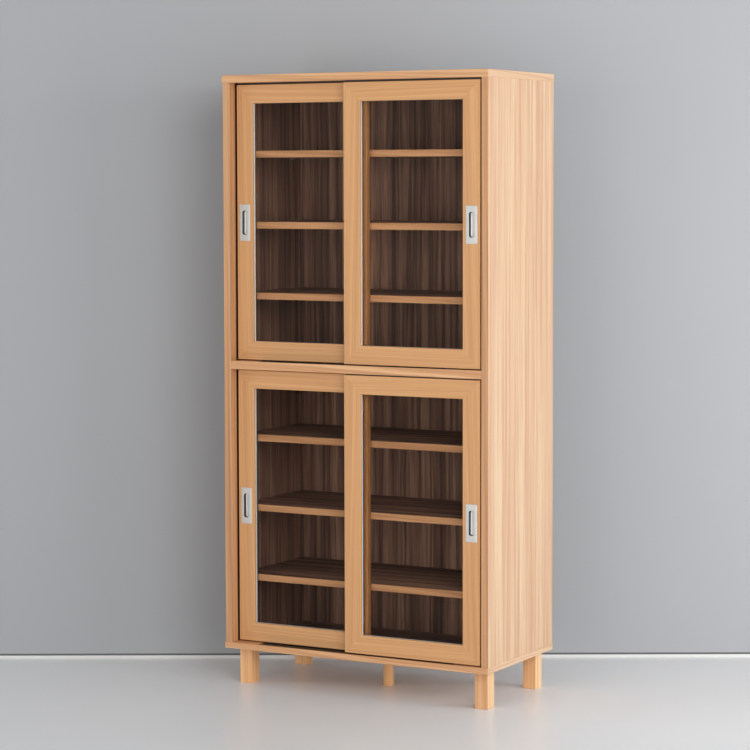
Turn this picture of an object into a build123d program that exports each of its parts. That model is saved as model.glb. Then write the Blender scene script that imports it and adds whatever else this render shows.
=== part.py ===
from build123d import *
import os
from collections import namedtuple
from math import sqrt

# Mizuya: a tall free-standing kitchen cabinet in two bays, one above the other. Each bay has two
# glazed doors that slide past each other on rollers, and three adjustable shelves.
# Millimetres. The origin is on the floor under the middle of the cabinet, +X to the right,
# +Y to the back and +Z up, so the doors face -Y.

os.makedirs("parts", exist_ok=True)

# ---------------------------------------------------------------- driving dimensions

# Carcass boards
carcass_width = 866.0  # over the two side panels
carcass_depth = 430.0  # front edge to back edge of a side panel
side_thickness = 22.0
top_thickness = 22.0
middle_thickness = 24.0
bottom_thickness = 18.0
lower_bay_height = 812.0
upper_bay_height = 814.0
front_lip = 3.0  # the top and bottom boards stand this far in front of the sides
side_lip = 1.0  # and this far outside them
middle_setback = 1.0  # the middle board's front edge behind the sides' front edges
board_arris = 1.0  # eased edges of the boards

# Back sheet, held in grooves
back_thickness = 4.0
back_recess = 16.0  # from the sides' back edges to the sheet
back_groove_depth = 7.0
back_groove_play = 0.2
back_edge_play = 1.0

# Legs
leg_height = 110.0
leg_size = 42.0
leg_front_setback = 44.0  # from the sides' front edges
leg_back_setback = 25.0  # from the sides' back edges
leg_arris = 1.5
centre_leg_diameter = 32.0
bolt_diameter = 8.0
bolt_length_in_leg = 40.0
bolt_cover = 6.0  # wood left above a bolt in the bottom board

# Pins, bolts and the holes that they fill are drawn with this many flats
fastener_flat_count = 12

# Shelves and their pins
shelf_thickness = 20.0
shelf_end_play = 1.0
shelf_door_gap = 7.0  # from the back of the rear doors to the shelves' front edges
shelf_back_gap = 2.0
shelf_arris = 0.8
first_shelf_height = 200.0  # from the bay's floor to the top of the lowest shelf
shelf_count = 3
shelf_spacing = 208.0  # from one shelf's top to the next
pin_diameter = 5.0
pin_block_length = 9.0  # the square end of a pin, which carries the shelf
pin_block_width = 8.0
pin_block_height = 6.0
pin_length_in_panel = 8.0
pin_hole_spare_depth = 1.0
pin_front_inset = 40.0  # from the shelf's front edge to the front pins
pin_back_inset = 50.0  # from the shelf's back edge to the back pins

# Doors
door_thickness = 20.0
door_side_gap = 6.0  # between a closed door's outer edge and the side panel
door_overlap = 60.0  # the rear door's reach behind the front door
front_door_setback = 4.0  # the front doors' faces behind the sides' front edges
door_spacing = 9.0  # air between the front and the rear door
door_floor_gap = 3.4  # under a door, down to its bay's floor
lower_head_gap = 4.0  # over a door in the lower bay
upper_head_gap = 6.0
frame_width = 54.0  # stiles and rails
frame_arris = 1.0
tongue_thickness = 6.0  # on the top rail, running in the groove above the door
tongue_engagement = 6.0
tongue_side_play = 0.5
tongue_end_inset = 2.0
door_lift = 4.0  # spare groove depth, so that a door lifts off its track

# Glazing
glass_thickness = 4.0
glazing_setback = 8.6  # from the frame's face to the glazing channel
channel_lip = 2.0  # the channel's thickness on each side of the glass
channel_web = 1.5  # and at the edge of the glass
glazing_groove_depth = 8.0

# Recessed pulls
pull_width = 36.0
pull_height = 107.0
pull_plate_thickness = 1.5
pull_plate_bevel = 0.7
pull_recess_width = 17.0
pull_recess_height = 71.0
pull_recess_depth = 12.5  # below the door's face
pull_recess_corner = 6.0
pull_recess_ease = 2.0  # chamfer between the recess's floor and its walls
pull_wall = 1.2
pull_mortise_play = 0.5
pull_inset = 26.0  # from the door's outer edge to the pull's middle

# Rollers and their housings
roller_diameter = 18.0
roller_width = 5.0
roller_inset = 95.0  # from a door's edge to the roller's axis
roller_side_play = 0.5
roller_top_play = 1.0
roller_end_play = 2.0
axle_diameter = 3.0
axle_play = 0.05  # radial
housing_cheek = 3.0
housing_end = 13.0
housing_top = 3.0

# Tracks: two grooves to a bay, in one strip let into the board flush
track_thickness = 4.0
track_groove_depth = 2.5
track_edge = 9.0  # outside the grooves
track_end_wall = 5.5  # beyond the grooves' ends
track_running_gap = 0.2  # under the rollers
track_stop_gap = 0.5  # between a roller at the end of its travel and the groove's end

# ---------------------------------------------------------------- levels and planes worked out

inner_half_width = carcass_width / 2 - side_thickness
front_y = front_lip - (carcass_depth + front_lip) / 2  # the sides' front edges
back_y = front_y + carcass_depth
sheet_front_y = back_y - back_recess - back_thickness

bottom_top_z = leg_height + bottom_thickness
middle_bottom_z = bottom_top_z + lower_bay_height
middle_top_z = middle_bottom_z + middle_thickness
top_bottom_z = middle_top_z + upper_bay_height

front_door_y = front_y + front_door_setback
rear_door_y = front_door_y + door_thickness + door_spacing
door_width = inner_half_width - door_side_gap + door_overlap / 2
door_travel = 2 * (inner_half_width - door_side_gap) - door_width

shelf_front_y = rear_door_y + door_thickness + shelf_door_gap
shelf_back_y = sheet_front_y - shelf_back_gap
pin_rows_y = (shelf_front_y + pin_front_inset, shelf_back_y - pin_back_inset)

channel_width = glass_thickness + 2 * channel_lip
glass_edge_depth = glazing_groove_depth - channel_web

roller_radius = roller_diameter / 2
roller_depth_in_track = track_groove_depth - track_running_gap
roller_axis_height = roller_radius - roller_depth_in_track  # above the bay's floor
track_groove_width = roller_width + 2 * roller_side_play
track_door_lines = (front_door_y + door_thickness / 2, rear_door_y + door_thickness / 2)
track_middle_y = sum(track_door_lines) / 2
track_width = track_door_lines[1] - track_door_lines[0] + track_groove_width + 2 * track_edge
roller_last_x = inner_half_width - door_side_gap - roller_inset
roller_reach = sqrt(roller_radius**2 - (roller_radius - roller_depth_in_track) ** 2)
groove_half_length = roller_last_x + roller_reach + track_stop_gap
track_length = 2 * (groove_half_length + track_end_wall)

head_groove_width = tongue_thickness + 2 * tongue_side_play
head_groove_depth = tongue_engagement + door_lift

Door = namedtuple("Door", "name left front bottom height head_gap pull_side")

lower_door_height = lower_bay_height - door_floor_gap - lower_head_gap
upper_door_height = upper_bay_height - door_floor_gap - upper_head_gap
left_door_x = door_side_gap - inner_half_width
right_door_x = -left_door_x - door_width

doors = []
for bay, floor_z, height, head_gap in (
    ("lower", bottom_top_z, lower_door_height, lower_head_gap),
    ("upper", middle_top_z, upper_door_height, upper_head_gap),
):
    door_z = floor_z + door_floor_gap
    doors.append(Door(f"{bay}_left_door", left_door_x, rear_door_y, door_z, height, head_gap, "left"))
    doors.append(Door(f"{bay}_right_door", right_door_x, front_door_y, door_z, height, head_gap, "right"))


def finish(piece, name):
    """Label a finished piece and write its file."""
    piece.part.label = name
    export_step(piece.part, f"parts/{name}.step")


def fastener_section(diameter):
    """The section of a pin or a bolt, and of its hole, in the sketch that is open."""
    RegularPolygon(diameter / 2, fastener_flat_count)


def facing_front(x, y, z):
    """A plane seen from the front, with its own x to the right and its own y up."""
    return Plane(origin=(x, y, z), x_dir=(1, 0, 0), z_dir=(0, -1, 0))


# ---------------------------------------------------------------- carcass


def add_end_board(bottom_z, thickness):
    """The outline that the top and bottom boards share."""
    with BuildSketch(Plane.XY.offset(bottom_z)) as outline:
        Rectangle(carcass_width + 2 * side_lip, carcass_depth + front_lip)
    extrude(outline.sketch, amount=thickness)


def cut_track_pocket(floor_z):
    """The stopped pocket that a track is let into."""
    with BuildSketch(Plane.XY.offset(floor_z)) as pocket:
        with Locations((0, track_middle_y)):
            Rectangle(track_length, track_width)
    extrude(pocket.sketch, amount=-track_thickness, mode=Mode.SUBTRACT)


def cut_head_grooves(ceiling_z):
    """The two grooves that the doors' tongues run in, from side panel to side panel."""
    with BuildSketch(Plane.XY.offset(ceiling_z)) as grooves:
        for line_y in track_door_lines:
            with Locations((0, line_y)):
                Rectangle(2 * inner_half_width, head_groove_width)
    extrude(grooves.sketch, amount=head_groove_depth, mode=Mode.SUBTRACT)


def cut_back_groove(face_z, depth):
    """The back sheet's groove in the top or bottom board; depth is upwards."""
    with BuildSketch(Plane.XY.offset(face_z)) as groove:
        with Locations((0, sheet_front_y + back_thickness / 2)):
            Rectangle(2 * (inner_half_width + back_groove_depth), back_thickness + back_groove_play)
    extrude(groove.sketch, amount=depth, mode=Mode.SUBTRACT)


leg_centre_x = inner_half_width - leg_size / 2
leg_rows_y = (
    front_y + leg_front_setback + leg_size / 2,
    back_y - leg_back_setback - leg_size / 2,
)
corner_leg_centres = {
    "front_left": (-leg_centre_x, leg_rows_y[0]),
    "front_right": (leg_centre_x, leg_rows_y[0]),
    "back_left": (-leg_centre_x, leg_rows_y[1]),
    "back_right": (leg_centre_x, leg_rows_y[1]),
}
centre_leg_centre = (0, front_y + carcass_depth / 2)
bolt_places = [*corner_leg_centres.values(), centre_leg_centre]
bolt_length_in_board = bottom_thickness - bolt_cover

with BuildPart() as bottom_board:
    add_end_board(leg_height, bottom_thickness)
    chamfer(bottom_board.edges(), board_arris)
    cut_track_pocket(bottom_top_z)
    cut_back_groove(bottom_top_z, -back_groove_depth)
    with BuildSketch(Plane.XY.offset(leg_height)) as bolt_holes:
        with Locations(*bolt_places):
            fastener_section(bolt_diameter)
    extrude(bolt_holes.sketch, amount=bolt_length_in_board, mode=Mode.SUBTRACT)
finish(bottom_board, "bottom_board")

with BuildPart() as top_board:
    add_end_board(top_bottom_z, top_thickness)
    chamfer(top_board.edges(), board_arris)
    cut_head_grooves(top_bottom_z)
    cut_back_groove(top_bottom_z, back_groove_depth)
finish(top_board, "top_board")

with BuildPart() as middle_board:
    middle_front_y = front_y + middle_setback
    with BuildSketch(Plane.XY.offset(middle_bottom_z)) as middle_outline:
        with Locations((0, (middle_front_y + sheet_front_y) / 2)):
            Rectangle(2 * inner_half_width, sheet_front_y - middle_front_y)
    extrude(amount=middle_thickness)
    chamfer(middle_board.faces().sort_by(Axis.Y)[0].edges().filter_by(Axis.X), board_arris)
    cut_track_pocket(middle_top_z)
    cut_head_grooves(middle_bottom_z)
finish(middle_board, "middle_board")


def shelf_tops(floor_z):
    """Heights of the shelves' top faces in the bay whose floor is at floor_z."""
    return [floor_z + first_shelf_height + step * shelf_spacing for step in range(shelf_count)]


all_shelf_tops = shelf_tops(bottom_top_z) + shelf_tops(middle_top_z)


def pin_axis_height(shelf_top):
    """Height of the pins' axes under a shelf."""
    return shelf_top - shelf_thickness - pin_block_height / 2


def side_panel(side):
    """A side panel: side is -1 on the left and +1 on the right."""
    inner_x = side * inner_half_width
    with BuildPart() as panel:
        with BuildSketch(Plane.XY.offset(bottom_top_z)) as outline:
            with Locations((inner_x + side * side_thickness / 2, front_y + carcass_depth / 2)):
                Rectangle(side_thickness, carcass_depth)
        extrude(amount=top_bottom_z - bottom_top_z)
        chamfer(panel.edges().filter_by(Axis.Z), board_arris)
        with BuildSketch(Plane.XY.offset(bottom_top_z)) as back_groove:
            with Locations((inner_x + side * back_groove_depth / 2, sheet_front_y + back_thickness / 2)):
                Rectangle(back_groove_depth, back_thickness + back_groove_play)
        extrude(amount=top_bottom_z - bottom_top_z, mode=Mode.SUBTRACT)
        inner_face = Plane(origin=(inner_x, 0, 0), x_dir=(0, 1, 0), z_dir=(1, 0, 0))
        with BuildSketch(inner_face) as pin_holes:
            for shelf_top in all_shelf_tops:
                with Locations(*[(row_y, pin_axis_height(shelf_top)) for row_y in pin_rows_y]):
                    fastener_section(pin_diameter)
        hole_depth = pin_length_in_panel + pin_hole_spare_depth
        extrude(amount=side * hole_depth, mode=Mode.SUBTRACT)
    return panel


finish(side_panel(-1), "left_side_panel")
finish(side_panel(1), "right_side_panel")

with BuildPart() as back_panel:
    sheet_half_width = inner_half_width + back_groove_depth - back_edge_play
    sheet_bottom_z = bottom_top_z - back_groove_depth
    sheet_top_z = top_bottom_z + back_groove_depth - back_edge_play
    with BuildSketch(facing_front(0, sheet_front_y, sheet_bottom_z)) as sheet_outline:
        Rectangle(
            2 * sheet_half_width,
            sheet_top_z - sheet_bottom_z,
            align=(Align.CENTER, Align.MIN),
        )
    extrude(amount=-back_thickness)
finish(back_panel, "back_panel")

# ---------------------------------------------------------------- shelves


def shelf(top_z):
    """A shelf board with eased long edges."""
    with BuildPart() as board:
        with BuildSketch(Plane.XY.offset(top_z - shelf_thickness)) as outline:
            with Locations((0, (shelf_front_y + shelf_back_y) / 2)):
                Rectangle(2 * (inner_half_width - shelf_end_play), shelf_back_y - shelf_front_y)
        extrude(amount=shelf_thickness)
        chamfer(board.edges().filter_by(Axis.X), shelf_arris)
    return board


for bay, floor_z in (("lower", bottom_top_z), ("upper", middle_top_z)):
    for number, shelf_top in enumerate(shelf_tops(floor_z), start=1):
        finish(shelf(shelf_top), f"{bay}_shelf_{number}")

with BuildPart() as shelf_pins:
    for shelf_top in all_shelf_tops:
        for side in (-1, 1):
            for row_y in pin_rows_y:
                pin_start = (side * inner_half_width, row_y, pin_axis_height(shelf_top))
                into_panel = Plane(origin=pin_start, x_dir=(0, 1, 0), z_dir=(side, 0, 0))
                with BuildSketch(into_panel) as shank:
                    fastener_section(pin_diameter)
                extrude(amount=pin_length_in_panel)
                with BuildSketch(into_panel) as block:
                    Rectangle(pin_block_width, pin_block_height)
                extrude(amount=-pin_block_length)
finish(shelf_pins, "shelf_pins")

# ---------------------------------------------------------------- legs


def cut_bolt_bore(x, y):
    """The bolt's blind hole in the top of a leg."""
    with BuildSketch(Plane.XY.offset(leg_height)) as bore:
        with Locations((x, y)):
            fastener_section(bolt_diameter)
    extrude(bore.sketch, amount=-bolt_length_in_leg, mode=Mode.SUBTRACT)


for corner, (leg_x, leg_y) in corner_leg_centres.items():
    with BuildPart() as leg:
        with BuildSketch(Plane.XY) as leg_outline:
            with Locations((leg_x, leg_y)):
                Rectangle(leg_size, leg_size)
        extrude(amount=leg_height)
        chamfer(leg.edges().filter_by(Axis.Z), leg_arris)
        chamfer(leg.faces().sort_by(Axis.Z)[0].edges(), leg_arris)
        cut_bolt_bore(leg_x, leg_y)
    finish(leg, f"{corner}_leg")

with BuildPart() as centre_leg:
    with BuildSketch(Plane.XY) as centre_leg_outline:
        with Locations(centre_leg_centre):
            Circle(centre_leg_diameter / 2)
    extrude(amount=leg_height)
    chamfer(centre_leg.faces().sort_by(Axis.Z)[0].edges(), leg_arris)
    cut_bolt_bore(*centre_leg_centre)
finish(centre_leg, "centre_leg")

with BuildPart() as leg_bolts:
    with BuildSketch(Plane.XY.offset(leg_height - bolt_length_in_leg)) as bolt_outline:
        with Locations(*bolt_places):
            fastener_section(bolt_diameter)
    extrude(amount=bolt_length_in_leg + bolt_length_in_board)
finish(leg_bolts, "leg_bolts")

# ---------------------------------------------------------------- tracks

with BuildPart() as door_tracks:
    for floor_z in (bottom_top_z, middle_top_z):
        with BuildSketch(Plane.XY.offset(floor_z)) as strip:
            with Locations((0, track_middle_y)):
                Rectangle(track_length, track_width)
        extrude(amount=-track_thickness)
        with BuildSketch(Plane.XY.offset(floor_z)) as roller_grooves:
            with Locations(*[(0, line_y) for line_y in track_door_lines]):
                Rectangle(2 * groove_half_length, track_groove_width)
        extrude(amount=-track_groove_depth, mode=Mode.SUBTRACT)
finish(door_tracks, "door_tracks")

# ---------------------------------------------------------------- doors


def door_face(door, behind=0.0):
    """The plane of a door's face, with its origin at the door's lower left corner."""
    return facing_front(door.left, door.front + behind, door.bottom)


def opening_centre(door):
    """The middle of the frame's opening, on the door's face plane."""
    return (door_width / 2, door.height / 2)


def opening_size(door, beyond=0.0):
    """Width and height of the frame's opening, reaching beyond its edges into the frame."""
    return (door_width - 2 * frame_width + 2 * beyond, door.height - 2 * frame_width + 2 * beyond)


def pull_centre(door):
    """The middle of a door's pull, on the door's face plane."""
    pull_x = pull_inset if door.pull_side == "left" else door_width - pull_inset
    return (pull_x, door.height / 2)


def roller_positions(door):
    """The rollers' axes along X, left and right."""
    return (door.left + roller_inset, door.left + door_width - roller_inset)


def shape_frame_bar(bar, door, corners, long_way):
    """Shape a mitred bar with eased long edges, grooved along its inner edge for the glazing."""
    with BuildSketch(door_face(door)) as outline:
        with BuildLine():
            Polyline(*corners, close=True)
        make_face()
    extrude(outline.sketch, amount=-door_thickness)
    chamfer(bar.edges().filter_by(long_way), frame_arris)
    with BuildSketch(door_face(door, glazing_setback)) as groove:
        with Locations(opening_centre(door)):
            Rectangle(*opening_size(door, glazing_groove_depth))
    extrude(groove.sketch, amount=-channel_width, mode=Mode.SUBTRACT)


def stile(door, side):
    """An upright of the frame, with a mortise where it carries the pull."""
    outer_x = 0.0 if side == "left" else door_width
    inner_x = frame_width if side == "left" else door_width - frame_width
    corners = (
        (outer_x, 0.0),
        (outer_x, door.height),
        (inner_x, door.height - frame_width),
        (inner_x, frame_width),
    )
    with BuildPart() as upright:
        shape_frame_bar(upright, door, corners, Axis.Z)
        if door.pull_side == side:
            with BuildSketch(door_face(door)) as mortise:
                with Locations(pull_centre(door)):
                    Rectangle(
                        pull_recess_width + 2 * (pull_wall + pull_mortise_play),
                        pull_recess_height + 2 * (pull_wall + pull_mortise_play),
                    )
            mortise_depth = pull_recess_depth + pull_wall + pull_mortise_play
            extrude(mortise.sketch, amount=-mortise_depth, mode=Mode.SUBTRACT)
    return upright


def top_rail(door):
    """The frame's top bar, with the tongue that keeps the door upright."""
    corners = (
        (0.0, door.height),
        (door_width, door.height),
        (door_width - frame_width, door.height - frame_width),
        (frame_width, door.height - frame_width),
    )
    with BuildPart() as bar:
        shape_frame_bar(bar, door, corners, Axis.X)
        tongue_setback = (door_thickness - tongue_thickness) / 2
        with BuildSketch(door_face(door, tongue_setback)) as tongue:
            with Locations((door_width / 2, door.height)):
                Rectangle(
                    door_width - 2 * tongue_end_inset,
                    door.head_gap + tongue_engagement,
                    align=(Align.CENTER, Align.MIN),
                )
        extrude(tongue.sketch, amount=-tongue_thickness)
    return bar


housing_length = roller_diameter + 2 * roller_end_play + 2 * housing_end
housing_width = roller_width + 2 * roller_side_play + 2 * housing_cheek
roller_axis_in_door = roller_axis_height - door_floor_gap  # above the door's lower edge
housing_well_height = roller_axis_in_door + roller_radius + roller_top_play
housing_height = housing_well_height + housing_top


def underside(door):
    """The plane of a door's lower edge, seen from above."""
    return Plane.XY.offset(door.bottom)


def bottom_rail(door):
    """The frame's bottom bar, with pockets for the two roller housings."""
    corners = (
        (0.0, 0.0),
        (door_width, 0.0),
        (door_width - frame_width, frame_width),
        (frame_width, frame_width),
    )
    with BuildPart() as bar:
        shape_frame_bar(bar, door, corners, Axis.X)
        middle_y = door.front + door_thickness / 2
        with BuildSketch(underside(door)) as pockets:
            with Locations(*[(roller_x, middle_y) for roller_x in roller_positions(door)]):
                Rectangle(housing_length, housing_width)
        extrude(pockets.sketch, amount=housing_height, mode=Mode.SUBTRACT)
    return bar


def glass(door):
    """The pane, reaching into the frame as far as the glazing channel's web."""
    with BuildPart() as pane:
        with BuildSketch(door_face(door, glazing_setback + channel_lip)) as outline:
            with Locations(opening_centre(door)):
                Rectangle(*opening_size(door, glass_edge_depth))
        extrude(amount=-glass_thickness)
    return pane


def glazing_channel(door):
    """The U-section channel round the pane, flush with the opening's edges."""
    with BuildPart() as channel:
        with BuildSketch(door_face(door, glazing_setback)) as ring:
            with Locations(opening_centre(door)):
                Rectangle(*opening_size(door, glazing_groove_depth))
                Rectangle(*opening_size(door), mode=Mode.SUBTRACT)
        extrude(amount=-channel_width)
        with BuildSketch(door_face(door, glazing_setback + channel_lip)) as pane_slot:
            with Locations(opening_centre(door)):
                Rectangle(*opening_size(door, glass_edge_depth))
        extrude(amount=-glass_thickness, mode=Mode.SUBTRACT)
    return channel


def pull(door):
    """A recessed pull: a plate on the stile's face with a cup sunk into the mortise."""
    with BuildPart() as cup:
        with BuildSketch(door_face(door)) as plate:
            with Locations(pull_centre(door)):
                Rectangle(pull_width, pull_height)
        extrude(amount=pull_plate_thickness)
        chamfer(cup.faces().sort_by(Axis.Y)[0].edges(), pull_plate_bevel)
        with BuildSketch(door_face(door)) as shell:
            with Locations(pull_centre(door)):
                RectangleRounded(
                    pull_recess_width + 2 * pull_wall,
                    pull_recess_height + 2 * pull_wall,
                    pull_recess_corner + pull_wall,
                )
        extrude(amount=-(pull_recess_depth + pull_wall))
        with BuildSketch(door_face(door, -pull_plate_thickness)) as recess:
            with Locations(pull_centre(door)):
                RectangleRounded(pull_recess_width, pull_recess_height, pull_recess_corner)
        extrude(amount=-(pull_plate_thickness + pull_recess_depth), mode=Mode.SUBTRACT)
        recess_floor = cup.faces().filter_by(Axis.Y).sort_by(Axis.Y)[-2]
        chamfer(recess_floor.edges(), pull_recess_ease)
    return cup


def roller_housings(door):
    """Two housings in the bottom rail, each with an axle across its well."""
    middle_y = door.front + door_thickness / 2
    places = [(roller_x, middle_y) for roller_x in roller_positions(door)]
    axle_z = door.bottom + roller_axis_in_door
    well = (roller_diameter + 2 * roller_end_play, roller_width + 2 * roller_side_play)
    with BuildPart() as housings:
        with BuildSketch(underside(door)) as blocks:
            with Locations(*places):
                Rectangle(housing_length, housing_width)
        extrude(amount=housing_height)
        with BuildSketch(underside(door)) as wells:
            with Locations(*places):
                Rectangle(*well)
        extrude(amount=housing_well_height, mode=Mode.SUBTRACT)
        with BuildSketch(facing_front(0, middle_y, axle_z)) as axles:
            with Locations(*[(roller_x, 0) for roller_x in roller_positions(door)]):
                Circle(axle_diameter / 2)
        extrude(amount=(well[1] + housing_cheek) / 2, both=True)
    return housings


def roller(door, axis_x):
    """A roller with a running bore."""
    middle_y = door.front + door_thickness / 2
    axis_z = door.bottom + roller_axis_in_door
    with BuildPart() as wheel:
        with BuildSketch(facing_front(axis_x, middle_y, axis_z)) as disc:
            Circle(roller_radius)
            Circle(axle_diameter / 2 + axle_play, mode=Mode.SUBTRACT)
        extrude(amount=roller_width / 2, both=True)
    return wheel


for door in doors:
    finish(stile(door, "left"), f"{door.name}_left_stile")
    finish(stile(door, "right"), f"{door.name}_right_stile")
    finish(top_rail(door), f"{door.name}_top_rail")
    finish(bottom_rail(door), f"{door.name}_bottom_rail")
    finish(glass(door), f"{door.name}_glass")
    finish(glazing_channel(door), f"{door.name}_glazing_channel")
    finish(pull(door), f"{door.name}_pull")
    finish(roller_housings(door), f"{door.name}_roller_housings")
    left_axis_x, right_axis_x = roller_positions(door)
    finish(roller(door, left_axis_x), f"{door.name}_left_roller")
    finish(roller(door, right_axis_x), f"{door.name}_right_roller")
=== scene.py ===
"""The looks of a tall kitchen cabinet with sliding glazed doors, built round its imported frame."""

import math

import bpy
from bpy.props import FloatProperty, FloatVectorProperty, IntProperty, PointerProperty
from mathutils import Matrix, Vector


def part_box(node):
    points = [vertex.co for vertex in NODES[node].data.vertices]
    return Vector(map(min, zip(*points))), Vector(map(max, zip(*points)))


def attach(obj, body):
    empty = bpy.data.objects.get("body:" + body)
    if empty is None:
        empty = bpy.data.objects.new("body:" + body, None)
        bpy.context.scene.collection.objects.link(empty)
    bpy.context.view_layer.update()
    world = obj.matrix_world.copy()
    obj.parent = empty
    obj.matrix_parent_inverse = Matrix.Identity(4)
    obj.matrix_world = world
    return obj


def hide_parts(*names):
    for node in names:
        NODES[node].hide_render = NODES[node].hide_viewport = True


bl_info = {
    "name": "Sliding Door Kitchen Cabinet",
    "version": (1, 0, 0),
    "blender": (4, 5, 0),
    "location": "View3D > Sidebar > Cabinet",
    "description": "Finishes, pulls and stage for a tall kitchen cabinet with sliding glazed doors",
    "category": "Object",
}

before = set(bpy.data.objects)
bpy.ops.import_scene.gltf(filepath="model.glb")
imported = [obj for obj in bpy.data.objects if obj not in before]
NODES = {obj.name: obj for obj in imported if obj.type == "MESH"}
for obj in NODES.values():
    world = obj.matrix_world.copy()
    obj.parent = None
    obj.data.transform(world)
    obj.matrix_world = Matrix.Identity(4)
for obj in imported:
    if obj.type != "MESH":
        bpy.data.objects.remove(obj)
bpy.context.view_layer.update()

DOORS = tuple(f"{bay}_{side}_door" for bay in ("lower", "upper") for side in ("left", "right"))
REAR_DOORS = ("lower_left_door", "upper_left_door")
BARS = ("left_stile", "right_stile", "top_rail", "bottom_rail")
SHELVES = tuple(f"{bay}_shelf_{number}" for bay in ("lower", "upper") for number in (1, 2, 3))
ALONG_X, ALONG_Y, ALONG_Z = (1.0, 0.0, 0.0), (0.0, 1.0, 0.0), (0.0, 0.0, 1.0)
MM = 0.001
HAIR = 0.3 * MM  # a box that masks a face reaches this far past it


# ---------------------------------------------------------------- values a user would change


def tone(name, description, default):
    """A colour property."""
    kind = {"size": 3, "min": 0.0, "max": 1.0, "subtype": "COLOR"}
    return FloatVectorProperty(name=name, description=description, default=default, **kind)


def distance(name, description, default):
    """A length property, in metres."""
    return FloatProperty(name=name, description=description, default=default, unit="LENGTH")


def watts(name, description, default):
    """A lamp's power."""
    return FloatProperty(name=name, description=description, default=default, min=0.0, unit="POWER")


def share(name, description, default):
    """A property from nought to one."""
    return FloatProperty(name=name, description=description, default=default, min=0.0, max=1.0)


def angle(name, description, degrees):
    """An angle property, given in degrees."""
    return FloatProperty(
        name=name, description=description, default=math.radians(degrees), subtype="ANGLE"
    )


def ratio(name, description, default):
    """A property without a unit."""
    return FloatProperty(name=name, description=description, default=default)


class CabinetWoods(bpy.types.PropertyGroup):
    """Colours of the light wood outside and the walnut inside"""

    board_light: tone("Board light", "Lightest stripes of the boards", (0.749, 0.431, 0.216))
    board_dark: tone("Board dark", "Darker bands of the boards", (0.582, 0.290, 0.128))
    board_streak: tone("Board streak", "Thin streaks in the boards", (0.437, 0.200, 0.086))
    side_light: tone("Side light", "Lightest stripes of the side panels", (0.670, 0.490, 0.315))
    side_dark: tone("Side dark", "Darker bands of the side panels", (0.600, 0.390, 0.238))
    side_streak: tone("Side streak", "Thin streaks in the side panels", (0.500, 0.278, 0.172))
    door_light: tone("Door light", "Lightest grain of the door frames", (0.663, 0.355, 0.151))
    door_dark: tone("Door dark", "Darker bands of the door frames", (0.582, 0.296, 0.120))
    door_streak: tone("Door streak", "Growth rings of the door frames", (0.472, 0.223, 0.085))
    leg_light: tone("Leg light", "Lightest grain of the legs", (0.887, 0.518, 0.247))
    leg_dark: tone("Leg dark", "Darker bands of the legs", (0.756, 0.407, 0.180))
    leg_streak: tone("Leg streak", "Growth rings of the legs", (0.497, 0.242, 0.101))
    shelf_light: tone("Shelf light", "Lightest stripes of shelf edges", (0.605, 0.311, 0.152))
    shelf_dark: tone("Shelf dark", "Darker bands of shelf edges", (0.508, 0.248, 0.117))
    shelf_streak: tone("Shelf streak", "Thin streaks in shelf edges", (0.384, 0.171, 0.076))
    edging_light: tone("Edging light", "Lightest stripes of side edges", (0.629, 0.350, 0.172))
    edging_dark: tone("Edging dark", "Darker bands of side edges", (0.489, 0.236, 0.102))
    edging_streak: tone("Edging streak", "Thin streaks in side edges", (0.367, 0.162, 0.069))
    # Meeting tones are for the rear doors' right stiles, where the front doors overlap them; they
    # are darker door tones, painted shade of the front doors
    shaded_meeting_light: tone("Meeting light", "Lightest grain of those stiles", (0.482, 0.211, 0.073))
    shaded_meeting_dark: tone("Meeting dark", "Darker bands of those stiles", (0.423, 0.176, 0.058))
    shaded_meeting_streak: tone("Meeting streak", "Growth rings of those stiles", (0.344, 0.132, 0.041))
    # Paler tones are painted on the outer faces of the right legs, as painted light from the lamps
    # on the right
    lit_face_light: tone("Sapwood light", "Lightest grain of the sapwood", (0.845, 0.588, 0.332))
    lit_face_dark: tone("Sapwood dark", "Darker bands of the sapwood", (0.721, 0.463, 0.241))
    lit_face_streak: tone("Sapwood streak", "Growth rings of the sapwood", (0.560, 0.330, 0.170))
    # The lining is the walnut on the inner faces of the side panels
    lining_light: tone("Lining light", "Lightest stripes of the lining", (0.499, 0.264, 0.166))
    lining_dark: tone("Lining dark", "Darker bands of the lining", (0.234, 0.116, 0.082))
    lining_streak: tone("Lining streak", "Near black streaks of the lining", (0.072, 0.038, 0.030))
    walnut_light: tone("Walnut light", "Lightest stripes of the walnut", (0.507, 0.271, 0.176))
    walnut_dark: tone("Walnut dark", "Darker bands of the walnut", (0.204, 0.103, 0.074))
    walnut_streak: tone("Walnut streak", "Near black streaks of the walnut", (0.055, 0.029, 0.022))
    veneer_border: distance("Veneer border", "Walnut starts this far before the shelves", 0.0035)
    lacquer: share("Lacquer", "Coat weight of the satin lacquer", 0.10)


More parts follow.
